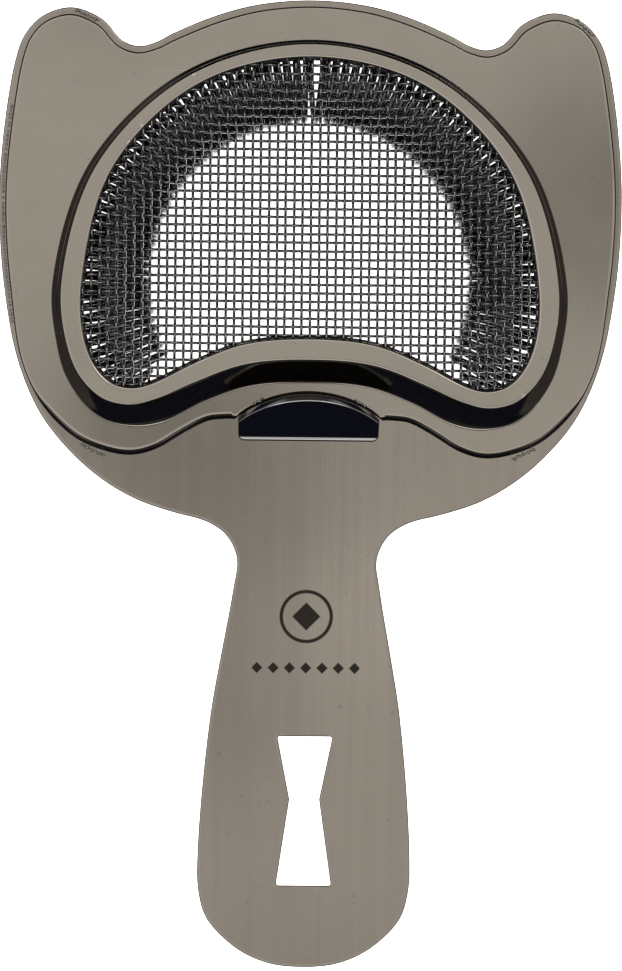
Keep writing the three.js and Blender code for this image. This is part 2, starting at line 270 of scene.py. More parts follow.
def polar_loop(loop):
    """The loop resampled at even angles about one centre, counter-clockwise."""
    points = np.array([[p.x, p.y, p.z] for p in loop])
    if loop_area(loop) < 0:
        points = points[::-1]
    dx, dy = points[:, 0] - POLAR_CENTRE[0], points[:, 1] - POLAR_CENTRE[1]
    angle = np.arctan2(dy, dx)
    order = np.argsort(angle)
    wanted = np.linspace(-math.pi, math.pi, POLAR_STEPS, endpoint=False)
    radius = np.interp(wanted, angle[order], np.hypot(dx, dy)[order], period=2 * math.pi)
    z = np.interp(wanted, angle[order], points[order, 2], period=2 * math.pi)
    x = POLAR_CENTRE[0] + radius * np.cos(wanted)
    y = POLAR_CENTRE[1] + radius * np.sin(wanted)
    return np.column_stack([x, y, z])


def inward(points):
    """Unit vectors pointing to the metal, which lies on the left of the loop."""
    flat = np.asarray(points)[:, :2]
    along = np.roll(flat, -1, axis=0) - np.roll(flat, 1, axis=0)
    along /= np.linalg.norm(along, axis=1)[:, None]
    return np.column_stack([-along[:, 1], along[:, 0]])


# ------------------------------------------------------------------ mesh code
class Builder:
    """Collects rings of points, strips between them and flat caps."""

    def __init__(self):
        self.points = []
        self.faces = []
        self.flat = []

    def ring(self, points):
        start = len(self.points)
        self.points.extend(tuple(map(float, p)) for p in points)
        return range(start, len(self.points))

    def strip(self, lower, upper):
        count = len(lower)
        for i in range(count):
            j = (i + 1) % count
            self.faces.append((lower[i], lower[j], upper[j], upper[i]))

    def cap(self, rings, up=True):
        flat = [[Vector(self.points[i]) for i in ring] for ring in rings]
        index = [i for ring in rings for i in ring]
        for triangle in tessellate_polygon([[Vector((p.x, p.y, 0)) for p in r] for r in flat]):
            a, b, c = (Vector(self.points[index[i]]) for i in triangle)
            face = tuple(index[i] for i in triangle)
            if ((b - a).cross(c - a).z > 0) != up:
                face = face[::-1]
            self.flat.append(len(self.faces))
            self.faces.append(face)

    def build(self, name):
        mesh = bpy.data.meshes.new(name)
        mesh.from_pydata(self.points, [], self.faces)
        smooth = np.ones(len(mesh.polygons), bool)
        smooth[self.flat] = False
        mesh.polygons.foreach_set("use_smooth", smooth)
        mesh.update()
        thing = bpy.data.objects.new(name, mesh)
        bpy.context.scene.collection.objects.link(thing)
        return thing


def weighted_normals(thing):
    modifier = thing.modifiers.new("Even shading", "WEIGHTED_NORMAL")
    modifier.weight = 100
    modifier.keep_sharp = True


def edge_profile(size, steps, power=2.0, border=0.0):
    """(inset, drop) pairs of a rounded edge, from the flat to the side wall."""
    pairs = [(size + border, 0.0)] if border else []
    for k in range(steps + 1):
        t = math.pi / 2 * k / steps
        inset = 1 - math.sin(t) ** (2 / power)
        drop = 1 - math.cos(t) ** (2 / power)
        pairs.append((size * inset, size * drop))
    return pairs


def rounded_sheet(name, loops, thickness, edges):
    """A flat or tilted sheet whose outline and holes have rounded edges above and below."""
    builder = Builder()
    tops, bottoms = [], []
    for loop, edge in zip(loops, edges):
        base = np.array([[p.x, p.y, p.z] for p in loop])
        normal = inward(base)
        profile = edge_profile(edge, 5, border=EDGE_BORDER)
        section = [(inset, -drop) for inset, drop in profile]
        section += [(inset, drop - thickness) for inset, drop in reversed(profile)]
        rings = []
        for inset, z in section:
            points = base.copy()
            points[:, :2] += normal * inset
            points[:, 2] += z
            rings.append(builder.ring(points))
        for upper, lower in zip(rings, rings[1:]):
            builder.strip(lower, upper)
        tops.append(rings[0])
        bottoms.append(rings[-1])
    builder.cap(tops, up=True)
    builder.cap(bottoms, up=False)
    thing = builder.build(name)
    weighted_normals(thing)
    return thing


def tube(builder, points, across, radius, sides):
    """A round wire through the points; across is a direction never parallel to the wire."""
    points = np.asarray(points, float)
    along = np.gradient(points, axis=0)
    along /= np.linalg.norm(along, axis=1)[:, None]
    side = np.cross(along, across)
    side /= np.linalg.norm(side, axis=1)[:, None]
    up = np.cross(side, along)
    rings = []
    angles = 2 * math.pi * np.arange(sides) / sides
    cos, sin = np.cos(angles), np.sin(angles)
    size = np.broadcast_to(radius, len(points))
    for point, s, u, r in zip(points, side, up, size):
        rings.append(builder.ring(point + r * (cos[:, None] * s + sin[:, None] * u)))
    for lower, upper in zip(rings, rings[1:]):
        builder.strip(lower, upper)
    builder.faces.append(tuple(rings[0])[::-1])
    builder.faces.append(tuple(rings[-1]))


# ------------------------------------------------------------------ sub-parts
def body_plate():
    outline, window, hole = top_loops("body_plate")
    loops = [smooth_loop(outline, 3), smooth_loop(window, 2), rounded_polygon(hole, HOLE_CORNER)]
    low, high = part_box("body_plate")
    edges = [PLATE_EDGE, HOLE_EDGE, HOLE_EDGE]
    return rounded_sheet("body_plate_surface", loops, high.z - low.z, edges)


def clamp_ring():
    loops = [smooth_loop(loop, 3) for loop in top_loops("mesh_clamp_ring")]
    return rounded_sheet("mesh_clamp_ring_surface", loops, CLAMP_SHEET, [0.15 * MM] * 2)


def wall_profile(shares, shoulder):
    """Height share across the step wall: curved at foot and crest, with a flatter shoulder."""
    fine = np.linspace(0, 1, 2001)
    slope = np.clip(fine / WALL_BLEND, 0, 1) * np.clip((1 - fine) / WALL_BLEND, 0, 1)
    slope = slope * (1 - shoulder * np.exp(-(((fine - SHOULDER_AT) / SHOULDER_WIDTH) ** 2)))
    height = np.cumsum(slope)
    return np.interp(shares, fine, (height - height[0]) / (height[-1] - height[0]))


def rear_edge_share(normal, points):
    """1 where the cover's edge faces the handle between the lobes, 0 elsewhere."""
    facing = np.clip((normal[:, 1] - 0.35) / 0.4, 0, 1)
    outside_notch = np.clip((np.abs(points[:, 0]) - 13.2 * MM) / (0.6 * MM), 0, 1)
    low = np.clip((20 * MM - points[:, 1]) / (6 * MM), 0, 1)
    return facing * facing * (3 - 2 * facing) * outside_notch * low


def cover_plate():
    outline, foot, crest, window = [
        smooth_loop(loop, 3) for loop in top_loops("cover_plate")[:4]
    ]
    foot, crest, window = polar_loop(foot), polar_loop(crest), polar_loop(window)
    foot = foot + (foot - crest) * np.array([WALL_SPREAD, WALL_SPREAD, 0])
    builder = Builder()

    rise = crest[:, 2] - foot[:, 2]
    shares = np.linspace(0, 1, WALL_STEPS)
    plain, stepped = wall_profile(shares, 0), wall_profile(shares, 0.9)
    shoulder = np.clip((foot[:, 1] - 22 * MM) / (16 * MM), 0, 1)
    wall = []
    for share, a, b in zip(shares, plain, stepped):
        points = foot + (crest - foot) * share
        points[:, 2] = foot[:, 2] + rise * (a + (b - a) * shoulder)
        wall.append(points)
    window_normal = -inward(window)
    lip = []
    for inset, drop in edge_profile(WINDOW_EDGE, 7):
        points = window.copy()
        points[:, :2] += window_normal * inset
        points[:, 2] -= drop * WINDOW_EDGE_DROP
        lip.append(points)
    apron = foot.copy()
    apron[:, :2] += -inward(foot) * -EDGE_BORDER
    ring_flat = window.copy()
    ring_flat[:, :2] += window_normal * (WINDOW_EDGE + EDGE_BORDER)
    inner_flat = crest.copy()
    inner_flat[:, :2] += inward(crest) * EDGE_BORDER
    upper = [builder.ring(points) for points in [apron] + wall + [inner_flat, ring_flat] + lip]
    lower = [builder.ring(points - [0, 0, COVER_SHEET]) for points in wall + [window]]
    for outer, inner in zip(upper, upper[1:]):
        builder.strip(outer, inner)
    for outer, inner in zip(lower, lower[1:]):
        builder.strip(inner, outer)
    builder.strip(upper[-1], lower[-1])

    base = np.array([[p.x, p.y, p.z] for p in outline])
    normal = inward(base)
    share = rear_edge_share(normal, base)
    size = COVER_EDGE + (COVER_REAR_EDGE - COVER_EDGE) * share
    rings = []
    border = base.copy()
    border[:, :2] += normal * (size + EDGE_BORDER)[:, None]
    rings.append(builder.ring(border))
    for inset, drop in edge_profile(1.0, 6, power=1.45):
        points = base.copy()
        points[:, :2] += normal * (size * inset)[:, None]
        points[:, 2] -= size * drop
        rings.append(builder.ring(points))
    rings.append(builder.ring(base - [0, 0, COVER_SHEET]))
    for outer, inner in zip(rings, rings[1:]):
        builder.strip(inner, outer)
    builder.cap([rings[0], upper[0]], up=True)
    builder.cap([rings[-1], lower[0]], up=False)
    thing = builder.build("cover_plate_surface")
    weighted_normals(thing)
    return thing


def crossings(polygon, value, axis):
    """Where the line axis = value enters and leaves a closed outline."""
    found = []
    other = 1 - axis
    after = np.roll(polygon, -1, axis=0)
    for p, q in zip(polygon, after):
        if (p[axis] > value) != (q[axis] > value):
            t = (value - p[axis]) / (q[axis] - p[axis])
            found.append(p[other] + t * (q[other] - p[other]))
    return sorted(found)


def woven_wires(name, axis, phase):
    """One family of wires of the plain weave; axis is the coordinate that stays constant."""
    outline = np.array([[p.x, p.y] for p in smooth_loop(top_loops("strainer_mesh")[0], 2)])
    flat = np.array([[p.y, p.z] for p in top_loops("strainer_mesh")[0]])
    tilt, level = np.polyfit(flat[:, 0], flat[:, 1], 1)
    builder = Builder()
    low, high = outline[:, axis].min(), outline[:, axis].max()
    first = math.ceil(low / MESH_PITCH)
    last = math.floor(high / MESH_PITCH)
    amplitude = 0.5 * MESH_WIRE * 0.96
    for number in range(first, last + 1):
        value = number * MESH_PITCH + 0.03 * MM * math.sin(2.4 * number + phase)
        ends = crossings(outline, value, axis)
        for start, stop in zip(ends[::2], ends[1::2]):
            count = max(4, int((stop - start) / MESH_PITCH * MESH_SAMPLES / 2))
            run = np.linspace(start, stop, count)
            wave = np.cos(math.pi * (run / MESH_PITCH + number + phase))
            wander = 0.02 * MM * np.sin(run * 310 + number * 1.7)
            points = np.zeros((count, 3))
            points[:, axis] = value + wander
            points[:, 1 - axis] = run
            points[:, 2] = level + tilt * points[:, 1] - 0.11 * MM + amplitude * wave
            tube(builder, points, (0, 0, 1), MESH_WIRE / 2, MESH_SIDES)
    return builder.build(name)


def arc_points(angle, z):
    """Points on the coil's centre line at the given angles."""
    return np.column_stack([
        COIL_BEND_RADIUS * np.cos(angle),
        COIL_CENTRE_Y + COIL_BEND_RADIUS * np.sin(angle),
        np.broadcast_to(z, np.shape(angle)),
    ])


def coil_angles():
    """Turn number along the C and its angle: a little loose at the ends, open at one place."""
    angle = np.linspace(COIL_END_ANGLE, math.pi - COIL_END_ANGLE, 6000)

    def near(place, width):
        return np.exp(-(((angle - place) / width) ** 2))

    loose = 1 + COIL_SPREAD_LOOSE * near(COIL_SPREAD_ANGLE, COIL_SPREAD_WIDTH)
    loose += (COIL_END_LOOSE * near(COIL_END_ANGLE, COIL_END_WIDTH)
              + COIL_END_LOOSE * near(math.pi - COIL_END_ANGLE, COIL_END_WIDTH))
    loose += COIL_UNEVEN * np.sin(angle * 23) + COIL_UNEVEN * np.sin(angle * 61)
    step = np.gradient(angle) * COIL_BEND_RADIUS / (COIL_PITCH * loose)
    turns = np.cumsum(step)
    turns = (turns - turns[0]) * (round(turns[-1]) / (turns[-1] - turns[0]))
    return turns, angle


def coil_spring():
    """A round-wire coil bent into a C, its end turns hooked round the anchor pins."""
    low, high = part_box("coil_spring")
    axis_z = (low.z + high.z) / 2
    coil_radius = (high.z - low.z) / 2 - COIL_WIRE / 2
    turns, angles = coil_angles()
    total = turns[-1]
    turn = np.linspace(0, total, int(total * COIL_TURN_SAMPLES))
    angle = np.interp(turn, turns, angles)
    hook = np.clip(np.minimum(turn, total - turn) / COIL_HOOK_TURNS, 0, 1)
    radius = coil_radius * (
        COIL_HOOK_SHARE + (1 - COIL_HOOK_SHARE) * hook * hook * (3 - 2 * hook))
    radius = radius * (1 - 0.004 + 0.004 * np.sin(turn * 2.3))
    outward = np.column_stack([np.cos(angle), np.sin(angle), 0 * angle])
    phase = 2 * math.pi * turn
    points = arc_points(angle, axis_z) + outward * (radius * np.cos(phase))[:, None]
    points[:, 2] += radius * np.sin(phase)
    builder = Builder()
    across = np.column_stack([-np.sin(angle), np.cos(angle), 0 * angle])
    tube(builder, points, across, COIL_WIRE / 2, COIL_SIDES)
    return builder.build("coil_spring_wire")


def spring_anchor(node):
    """A pin: a leg down from the plate, a bend, and an arm with a rounded tip in the coil."""
    low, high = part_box(node)
    side = math.copysign(1, low.x)
    axis_z = low.z + ANCHOR_WIRE / 2
    arm = arc_points(np.linspace(ANCHOR_ARM_ANGLE, ANCHOR_TIP_ANGLE, 16), axis_z)
    top = arc_points(np.array([ANCHOR_LEG_ANGLE]), high.z)[0]
    corner = np.array([top[0], top[1], axis_z])
    entry = corner + (arm[0] - corner) * 0.98
    rise = corner + np.array([0, 0, ANCHOR_BEND_RISE])
    bend = [
        rise * (1 - t) ** 2 + corner * 2 * t * (1 - t) + entry * t * t
        for t in np.linspace(0, 1, 16)
    ]
    path = np.vstack([[top], bend, arm[1:]])
    path[:, 0] *= side
    tip = path[-1] - path[-2]
    tip /= np.linalg.norm(tip)
    shares = np.linspace(0, 1, 7)[1:]
    rounding = [path[-1] + tip * ANCHOR_WIRE * ANCHOR_TIP_SHARE * share for share in shares]
    radii = [ANCHOR_WIRE / 2] * len(path)
    radii += [ANCHOR_WIRE / 2 * math.sqrt(max(0.01, 1 - share**2)) for share in shares]
    path = np.vstack([path, rounding])
    outward = path - [0, COIL_CENTRE_Y, 0]
    along = np.gradient(path, axis=0)
    across = np.cross(along, np.cross([0, 0, 1], outward))
    builder = Builder()
    tube(builder, path, np.cross(along, across), np.array(radii), 20)
    return builder.build(node + "_rod")


def weld_collar(node):
    """An uneven fillet of weld metal round the top of an anchor leg."""
    low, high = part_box(node)
    x, y = (low.x + high.x) / 2, (low.y + high.y) / 2
    inner = ANCHOR_WIRE / 2
    builder = Builder()
    rings = []
    angles = 2 * math.pi * np.arange(48) / 48
    for share in np.linspace(0, 1, 11):
        ring = []
        for a in angles:
            way = Vector((math.cos(a), math.sin(a), share * 1.5))
            lump = 1 + 0.16 * noise.noise(way * 3.4 + Vector((x, y, 0)) * 90)
            spread = inner + COLLAR_SPREAD * (1 - share) ** 1.8 * lump
            drop = COLLAR_HEIGHT * share * (1 + 0.1 * noise.noise(way * 2.1))
            ring.append((x + spread * way.x, y + spread * way.y, high.z - drop))
        rings.append(builder.ring(ring))
    for upper, lower in zip(rings, rings[1:]):
        builder.strip(lower, upper)
    builder.cap([rings[0]], up=True)
    builder.cap([rings[-1]], up=False)
    return builder.build(node + "_fillet")


def tab_surface(points, depth, low):
    """Bends the flat leaf up from its toe; depth is measured below its upper face."""
    x, run = points[:, 0], points[:, 1]
    angle = np.clip((run - TAB_TOE) / TAB_BEND, 0, TAB_LEAN)
    rest = np.maximum(run - TAB_TOE - TAB_BEND * TAB_LEAN, 0)
    y = np.minimum(run, TAB_TOE) + TAB_BEND * np.sin(angle) + rest * math.cos(TAB_LEAN)
    z = TAB_TOE_SHEET + TAB_BEND * (1 - np.cos(angle)) + rest * math.sin(TAB_LEAN)
    y = low.y + y + depth * np.sin(angle)
    z = low.z + np.maximum(z - depth * np.cos(angle), 0)
    return np.column_stack([x, y, z])


def tab_half_rim():
    """(x, run) down the right-hand rim of the flat leaf, from its foot to its top."""
    rim = []
    for a in np.linspace(0, math.pi / 2, 18):
        x = TAB_HALF_WIDTH - TAB_CORNER * (1 - math.sin(a))
        rim.append((x, TAB_CORNER * (1 - math.cos(a))))
    rim += [(TAB_HALF_WIDTH, run) for run in np.linspace(TAB_CORNER, TAB_SIDE, 8)[1:]]
    radius = (TAB_HALF_WIDTH**2 + TAB_ARC_RISE**2) / (2 * TAB_ARC_RISE)
    centre = TAB_SIDE + TAB_ARC_RISE - radius
    for a in np.linspace(math.asin(TAB_HALF_WIDTH / radius), 0, 31)[1:]:
        rim.append((radius * math.sin(a), centre + radius * math.cos(a)))
    return rim


def finger_tab():
    """A thick leaf with rounded rims that bends up from a narrow toe on the plate."""
    low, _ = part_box("finger_tab")
    half = tab_half_rim()
    flat = np.array(half + [(-x, run) for x, run in reversed(half[:-1])])
    normal = inward(flat)
    crisp = np.clip(flat[:, 1] / TAB_CORNER, 0, 1)
    size = TAB_FOOT_EDGE + (TAB_EDGE - TAB_FOOT_EDGE) * crisp
    sheet = TAB_TOE_SHEET + (TAB_SHEET - TAB_TOE_SHEET) * crisp
    builder = Builder()
    rings = []
    profile = edge_profile(1.0, 6)
    section = [(size * inset, size * drop) for inset, drop in profile]
    section += [(TAB_EDGE * inset, sheet - TAB_EDGE * drop) for inset, drop in profile[::-1]]
    flare = TAB_FLARE * np.clip((flat[:, 1] - TAB_SIDE) / TAB_CORNER, 0, 1)
    for inset, depth in section:
        points = flat + normal * (inset - flare * depth / TAB_SHEET)[:, None]
        rings.append(builder.ring(tab_surface(points, depth, low)))
    for upper, lower in zip(rings, rings[1:]):
        builder.strip(lower, upper)
    count = len(flat)
    for ring, order in ((rings[0], 1), (rings[-1], -1)):
        for i in range(len(half) - 1):
            a, b = ring[i], ring[i + 1]
            c, d = ring[count - 2 - i], ring[count - 1 - i]
            face = (a, b, d) if b == c else (a, b, c, d)
            builder.faces.append(face[::order])
    thing = builder.build("finger_tab_leaf")
    weighted_normals(thing)
    return thing


def weld_bead(node):
    """A short run of uneven lumps along the place of a CAD weld bead."""
    low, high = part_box(node)
    side = 1 if (low.x + high.x) > 0 else -1
    ear = "ear" in node
    slope = -1 if ear else (-side if "tab" in node else side)
    lumps = 9 if "tab" not in node else 5
    shape = bmesh.new()
    for k in range(lumps):
        t = (k + 0.5) / lumps
        x = low.x + t * (high.x - low.x)
        y = low.y + (t if slope > 0 else 1 - t) * (high.y - low.y)
        raised = LOBE_RAISE if "lobe" in node else 0
        y += BEAD_WANDER * math.sin(k * 2.7 + low.x * 900) + raised
        size = (BEAD_LUMP + BEAD_LUMP_VARIATION * abs(math.sin(k * 1.9))) * MM
        made = bmesh.ops.create_icosphere(shape, subdivisions=2, radius=size)
        for vert in made["verts"]:
            lump = noise.noise(vert.co * 5200 + Vector((k, 0, 0)))
            vert.co = vert.co * (1 + 0.45 * lump)
            vert.co += Vector((x, y, low.z + BEAD_RAISE))
    mesh = bpy.data.meshes.new(node + "_lumps")
    shape.to_mesh(mesh)
    shape.free()
    mesh.polygons.foreach_set("use_smooth", [True] * len(mesh.polygons))
    thing = bpy.data.objects.new(node + "_lumps", mesh)
    bpy.context.scene.collection.objects.link(thing)
    return thing


def weld_seam():
    """A row of small round lumps down the left side, beside the cover's edge."""
    low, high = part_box("weld_seam_left")
    outline = smooth_loop(top_loops("cover_plate")[0], 3)
    normal = inward(outline)
    radius = (high.z - low.z) / 2
    row = [p + Vector((-n[0], -n[1], 0)) * SEAM_OFFSET for p, n in zip(outline, normal)
           if p.x < 0 and low.y + radius < p.y < high.y - radius]
    row.sort(key=lambda p: -p.y)
    shape = bmesh.new()
    travelled = SEAM_PITCH
    for before, point in zip(row, row[1:]):
        length = (point - before).length
        travelled += length
        while travelled >= SEAM_PITCH:
            travelled -= SEAM_PITCH
            place = before.lerp(point, min(1, travelled / length))
            size = radius * (1 + 0.25 * noise.noise(place * 3000))
            made = bmesh.ops.create_icosphere(shape, subdivisions=2, radius=size)
            for vert in made["verts"]:
                vert.co.z *= 0.8
                vert.co *= 1 + 0.2 * noise.noise(vert.co * 4000 + place * 900)
                vert.co += Vector((place.x, place.y, low.z + 0.6 * radius))
    mesh = bpy.data.meshes.new("weld_seam_left_lumps")
    shape.to_mesh(mesh)
    shape.free()
    mesh.polygons.foreach_set("use_smooth", [True] * len(mesh.polygons))
    thing = bpy.data.objects.new("weld_seam_left_lumps", mesh)
    bpy.context.scene.collection.objects.link(thing)
    return thing


# ------------------------------------------------------------------ materials
class Nodes:
    """A short way to write a node tree."""

    def __init__(self, tree):
        self.tree = tree
        tree.nodes.clear()

    def add(self, kind, inputs=(), **settings):
        node = self.tree.nodes.new(kind)
        for key, value in settings.items():
            setattr(node, key, value)
        for key, value in dict(inputs).items():
            if isinstance(value, bpy.types.NodeSocket):
                self.tree.links.new(value, node.inputs[key])
            else:
                node.inputs[key].default_value = value
        return node

    def math(self, operation, a, b=0.0):
        return self.add("ShaderNodeMath", {0: a, 1: b}, operation=operation).outputs[0]

    def smooth(self, value, low, high):
        """A smooth step from 0 at low to 1 at high."""
        return self.add("ShaderNodeMapRange", {
            "Value": value, "From Min": low, "From Max": high,
        }, interpolation_type="SMOOTHSTEP").outputs[0]

    def noise(self, coordinates, scale, stretch=(1, 1, 1), detail=3.0):
        mapped = self.add("ShaderNodeMapping", {"Vector": coordinates, "Scale": stretch})
        return self.add("ShaderNodeTexNoise", {
            "Vector": mapped.outputs[0], "Scale": scale, "Detail": detail,
        }).outputs["Fac"]

    def mix(self, factor, a, b):
        node = self.add("ShaderNodeMix", data_type="RGBA")
        for key, value in (("Factor", factor), ("A", a), ("B", b)):
            socket = next(s for s in node.inputs if s.name == key and s.enabled)
            if isinstance(value, bpy.types.NodeSocket):
                self.tree.links.new(value, socket)
            else:
                socket.default_value = value
        return next(s for s in node.outputs if s.enabled)


def shade(colour, factor):
    return tuple(c * factor for c in colour[:3]) + (1.0,)


def coated_steel(name, colour, roughness, grain=(1, 1, 1), grain_scale=400, grain_depth=0.05,
                 grain_rough=0.05, mottle=0.06, speck=0.3, bands=0.0, wear=0.5, metal=1.0,
                 motif=False):
    """Dark coated steel: mottled tint, directional grain, fine specks and paler worn edges."""
    material = bpy.data.materials.new(name)
    material.use_nodes = True
    n = Nodes(material.node_tree)
    place = n.add("ShaderNodeTexCoord").outputs["Object"]
    cloud = n.noise(place, 38, detail=2)
    streak = n.noise(place, grain_scale, grain, detail=6)
    smudge = n.noise(place, 130, (1, 0.6, 1), detail=4)
    dots = n.smooth(n.noise(place, 900, detail=1), 0.74, 0.8)
    tint = n.mix(cloud, shade(colour, 1 - mottle), shade(colour, 1 + mottle))
    tint = n.mix(n.math("MULTIPLY", streak, 0.3), tint, shade(colour, 0.72))
    if bands:
        band = n.smooth(n.noise(place, 420, (1, 0.02, 1), detail=3), 0.35, 0.65)
        tint = n.mix(n.math("MULTIPLY", band, bands), tint, shade(colour, 0.6))
    tint = n.mix(n.math("MULTIPLY", dots, speck), tint, shade(colour, 0.35))
    edge = n.smooth(n.add("ShaderNodeNewGeometry").outputs["Pointiness"], 0.56, 0.66)
    tint = n.mix(n.math("MULTIPLY", edge, wear), tint, shade(colour, 2.2))
    rough = n.math("MULTIPLY_ADD", streak, grain_rough)
    rough.node.inputs[2].default_value = roughness - grain_rough / 2
    rough = n.math("ADD", rough, n.math("MULTIPLY", smudge, 0.04))
    if motif:
        etched = etched_motif(n, place)
        tint = n.mix(n.math("MULTIPLY", etched, 0.95), tint, shade(colour, 0.04))
        rough = n.math("ADD", rough, n.math("MULTIPLY", etched, 0.3))
    bump = n.add("ShaderNodeBump", {
        "Height": streak, "Strength": grain_depth, "Distance": 0.02 * MM,
    })
    shader = n.add("ShaderNodeBsdfPrincipled", {
        "Base Color": tint, "Metallic": metal, "Roughness": rough,
        "Normal": bump.outputs[0],
    })
    n.add("ShaderNodeOutputMaterial", {"Surface": shader.outputs[0]})
    return material


def etched_motif(n, place):
    """A plain etched mark on the handle: a ring round a diamond, over a row of small diamonds."""
    x, y, _ = n.add("ShaderNodeSeparateXYZ", {"Vector": place}).outputs
    across = n.math("ABSOLUTE", n.math("DIVIDE", x, MM))
    up = n.math("DIVIDE", y, MM)

    def diamond(dx, dy, half, soft=0.12):
        size = n.math("ADD", n.math("ABSOLUTE", dx), n.math("ABSOLUTE", dy))
        return n.smooth(size, half + soft, half - soft)

    high = n.math("SUBTRACT", up, MOTIF_CENTRE_Y / MM)
    far = n.math("SQRT", n.math("ADD", n.math("POWER", across, 2), n.math("POWER", high, 2)))
    from_ring = n.math("ABSOLUTE", n.math("SUBTRACT", far, MOTIF_RING_RADIUS))
    ring = n.smooth(from_ring, *MOTIF_RING_EDGES)
    centre = diamond(across, high, MOTIF_DIAMOND)
    row_y = n.math("SUBTRACT", up, (MOTIF_CENTRE_Y - MOTIF_ROW_DROP * MM) / MM)
    step = n.math("PINGPONG", across, MOTIF_ROW_HALF_PITCH)
    row = diamond(step, row_y, MOTIF_ROW_DIAMOND)
    beads = n.math("MULTIPLY", row, n.smooth(across, *MOTIF_ROW_ENDS))
    marks = n.math("MAXIMUM", n.math("MAXIMUM", ring, centre), beads)
    normal = n.add("ShaderNodeNewGeometry").outputs["Normal"]
    facing = n.add("ShaderNodeSeparateXYZ", {"Vector": normal}).outputs[2]
    return n.math("MULTIPLY", marks, n.smooth(facing, 0.2, 0.6))


# base colours
SATIN = (0.165, 0.148, 0.127)
POLISHED = (0.172, 0.156, 0.134)
MESH = (0.12, 0.118, 0.117)
# the coil and anchor wire colour is partly the wire's own dark finish and partly painted shade,
# for the shade under the mesh and ring
COIL_TONE_WITH_PAINTED_SHADE = (0.09, 0.088, 0.088)
# painted shade: the clamp ring's near-black colour stands in for the shade it lies in under the
# window's edge
CLAMP_PAINTED_SHADE = (0.012, 0.012, 0.015)
# painted highlight: the tab is the plates' gunmetal, given a paler colour so that the highlight
# along its rounded rim shows brighter
TAB_TONE_PAINTED_HIGHLIGHT = (0.24, 0.235, 0.23)
WELD = (0.2, 0.19, 0.18)


def dress(thing, material, body, slot, *nodes):
    thing.data.materials.clear()
    thing.data.materials.append(material)
    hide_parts(*nodes)
    if body:
        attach(thing, body)


def build_object():
    satin = coated_steel("satin_gunmetal", SATIN, 0.08, (1, 0.012, 1), 2600, 0.08, 0.04,
                         bands=0.14, motif=True)
    polished = coated_steel("polished_gunmetal", POLISHED, 0.06, (1, 1, 1), 160, 0.02, 0.03,
                            metal=0.996)
    # painted highlight: a paler copy of the gunmetal for the tab, so that the highlight along its
    # rim shows brighter
    tab_painted_highlight = coated_steel("gloss_gunmetal", TAB_TONE_PAINTED_HIGHLIGHT, 0.08, (1, 1, 1), 300, 0.02, 0.02, wear=0.0)
    fine = coated_steel("black_mesh_wire", MESH, 0.06, (1, 1, 1), 900, 0.03, 0.06, wear=0.0)
    # coil and anchor wire: its own dark finish, darkened further as painted shade for the shade
    # under the mesh and ring
    wire = coated_steel("black_wire", COIL_TONE_WITH_PAINTED_SHADE, 0.15, (1, 1, 1), 900, 0.03, 0.1, wear=0.0)
    # painted shade: near-black steel for the clamp ring, standing in for the shade under the
    # window's edge
    clamp_painted_shade = coated_steel("clamp_steel_painted_shade", CLAMP_PAINTED_SHADE, 0.25, (1, 1, 1), 900, 0.03, 0.1, wear=0.0)
    weld = coated_steel("weld_metal", WELD, 0.35, (1, 1, 1), 2600, 0.8, 0.2, wear=0.8)

    dress(body_plate(), satin, "strainer", "satin_gunmetal", "body_plate")
    dress(cover_plate(), polished, "strainer", "polished_gunmetal", "cover_plate")
    dress(clamp_ring(), clamp_painted_shade, "strainer", "black_wire", "mesh_clamp_ring")
    dress(finger_tab(), tab_painted_highlight, "strainer", "gloss_gunmetal", "finger_tab")
    dress(woven_wires("mesh_warp_wires", 0, 0), fine, "strainer", "black_wire", "strainer_mesh")
    dress(woven_wires("mesh_weft_wires", 1, 1), fine, "strainer", "black_wire", "strainer_mesh")
    for side in ("left", "right"):
        node = f"spring_anchor_{side}"
        dress(spring_anchor(node), wire, "strainer", "black_wire", node)
        node = f"weld_anchor_{side}"
        dress(weld_collar(node), weld, "strainer", "weld_metal", node)
        for name in ("ear", "lobe", "tab"):
            node = f"weld_{name}_{side}"
            dress(weld_bead(node), weld, "strainer", "weld_metal", node)

    dress(weld_seam(), weld, "strainer", "weld_metal", "weld_seam_left")

    coil = coil_spring()
    dress(coil, wire, None, "black_wire", "coil_spring")
    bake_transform(coil)


# ------------------------------------------------------------------ stage, light, camera
def floor_material():
    """Pale and evenly lit from above, clear from below so that the underside can be seen."""
    material = bpy.data.materials.new("pale_floor")
    material.use_nodes = True
    n = Nodes(material.node_tree)
    pale = n.add("ShaderNodeBsdfPrincipled", {
        "Base Color": (0.8, 0.8, 0.8, 1), "Roughness": 0.9,
        "Emission Color": (1, 1, 1, 1), "Emission Strength": 0.92,
    })
    clear = n.add("ShaderNodeBsdfTransparent")
    facing = n.add("ShaderNodeNewGeometry").outputs["Backfacing"]
    shader = n.add("ShaderNodeMixShader", {0: facing, 1: pale.outputs[0], 2: clear.outputs[0]})
    n.add("ShaderNodeOutputMaterial", {"Surface": shader.outputs[0]})
    return material


